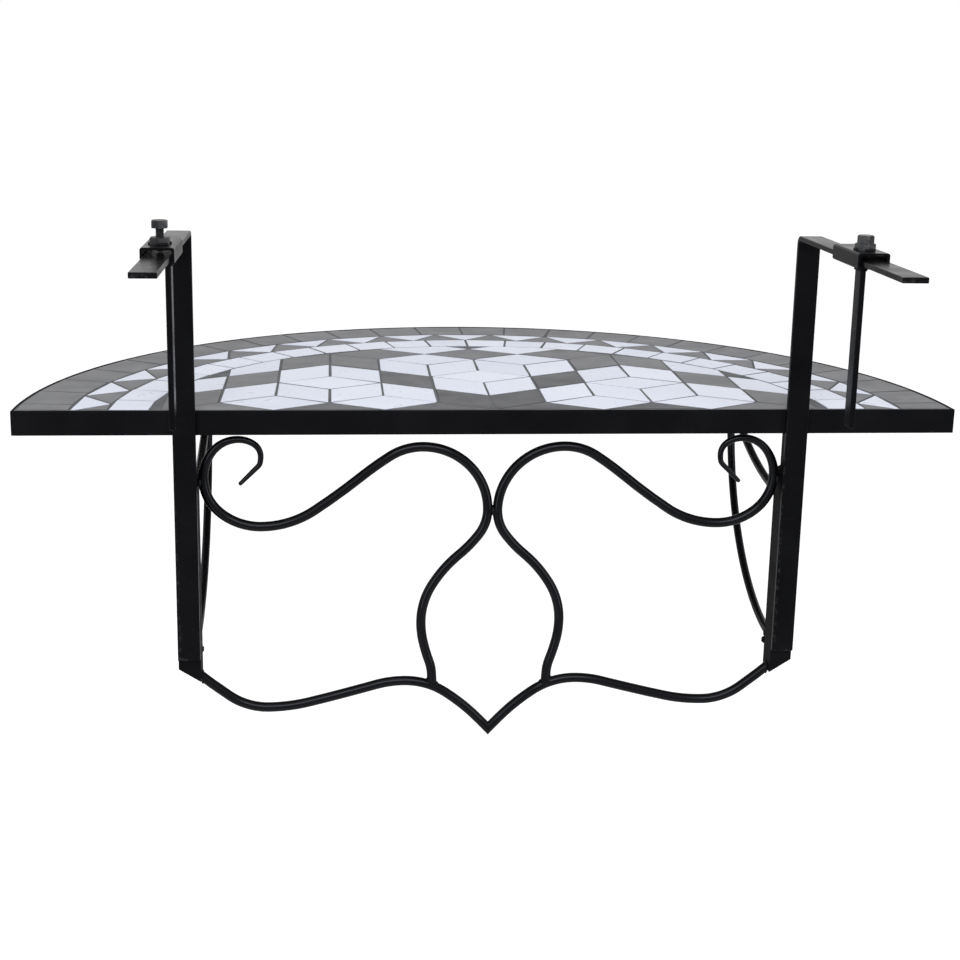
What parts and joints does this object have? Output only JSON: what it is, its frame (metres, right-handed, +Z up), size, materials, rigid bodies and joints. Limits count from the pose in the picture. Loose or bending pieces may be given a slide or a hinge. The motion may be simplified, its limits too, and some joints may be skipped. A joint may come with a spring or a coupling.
{
  "type": "balcony railing table",
  "caption": "Half-round mosaic-topped table that hooks over a balcony railing, held by sliding bolted clamps, with swing-in braces under the top.",
  "frame": {"origin": "midway between the two hooks, where the arms' undersides (z = 0) and the rail side of the hooks' legs (y = 0) meet", "axes": "+X to the right along the railing, +Y away from the railing over the table, +Z up"},
  "size_m": [0.76, 0.6124, 0.4485],
  "materials": {
    "black_steel": "semi-gloss black powder coat",
    "black_bolt": "black coated fastener steel",
    "white_tile": "satin glazed, cool white",
    "dark_tile": "satin, dark grey-brown stone look",
    "grout": "matte dark grey cement grout",
    "board": "matte grey fibre cement"
  },
  "bodies": {
    "table_frame": {"backer_board": "board", "brace_ears_left": "black_steel", "brace_ears_right": "black_steel", "cross_bar_front": "black_steel", "cross_bar_rear": "black_steel", "grout_bed": "grout", "hinge_pin_left": "black_steel", "hinge_pin_right": "black_steel", "hinge_plate_left": "black_steel", "hinge_plate_right": "black_steel", "hook_left": "black_steel", "hook_right": "black_steel", "hook_rivets_left": "black_steel", "hook_rivets_right": "black_steel", "scroll_left": "black_steel", "scroll_right": "black_steel", "tabletop_rim": "black_steel", "tiles_band_white": "white_tile", "tiles_border_dark": "dark_tile", "tiles_diamond_dark": "dark_tile", "tiles_diamond_white": "white_tile", "tiles_triangle_dark": "dark_tile", "tiles_triangle_white": "white_tile", "upright_left": "black_steel", "upright_right": "black_steel", "valance_rod": "black_steel"},
    "brace_left": {"brace_post_left": "black_steel", "brace_rod_left": "black_steel", "brace_stay_left": "black_steel"},
    "clamp_left": {"clamp_sleeve_left": "black_steel", "clamp_leg_left": "black_steel", "clamp_nut_left": "black_bolt"},
    "clamp_bolt_left": {"clamp_bolt_left": "black_bolt"},
    "brace_right": {"brace_post_right": "black_steel", "brace_rod_right": "black_steel", "brace_stay_right": "black_steel"},
    "clamp_right": {"clamp_sleeve_right": "black_steel", "clamp_leg_right": "black_steel", "clamp_nut_right": "black_bolt"},
    "clamp_bolt_right": {"clamp_bolt_right": "black_bolt"}
  },
  "joints": [
    {"name": "clamp_left_slide", "type": "slide", "parent": "table_frame", "child": "clamp_left", "axis": [0, -1, 0], "range_m": [-0.084, 0.076]},
    {"name": "clamp_bolt_left_travel", "type": "slide", "parent": "clamp_left", "child": "clamp_bolt_left", "axis": [0, 0, 1], "range_m": [0, 0.0075]},
    {"name": "brace_left_swing", "type": "hinge", "parent": "table_frame", "child": "brace_left", "pos_m": [-0.2435, 0.03, -0.28], "axis": [0, 0, -1], "range_deg": [0, 90]},
    {"name": "clamp_right_slide", "type": "slide", "parent": "table_frame", "child": "clamp_right", "axis": [0, -1, 0], "range_m": [-0.084, 0.076]},
    {"name": "clamp_bolt_right_travel", "type": "slide", "parent": "clamp_right", "child": "clamp_bolt_right", "axis": [0, 0, 1], "range_m": [0, 0.0075]},
    {"name": "brace_right_swing", "type": "hinge", "parent": "table_frame", "child": "brace_right", "pos_m": [0.2435, 0.03, -0.28], "axis": [0, 0, 1], "range_deg": [0, 90]}
  ]
}
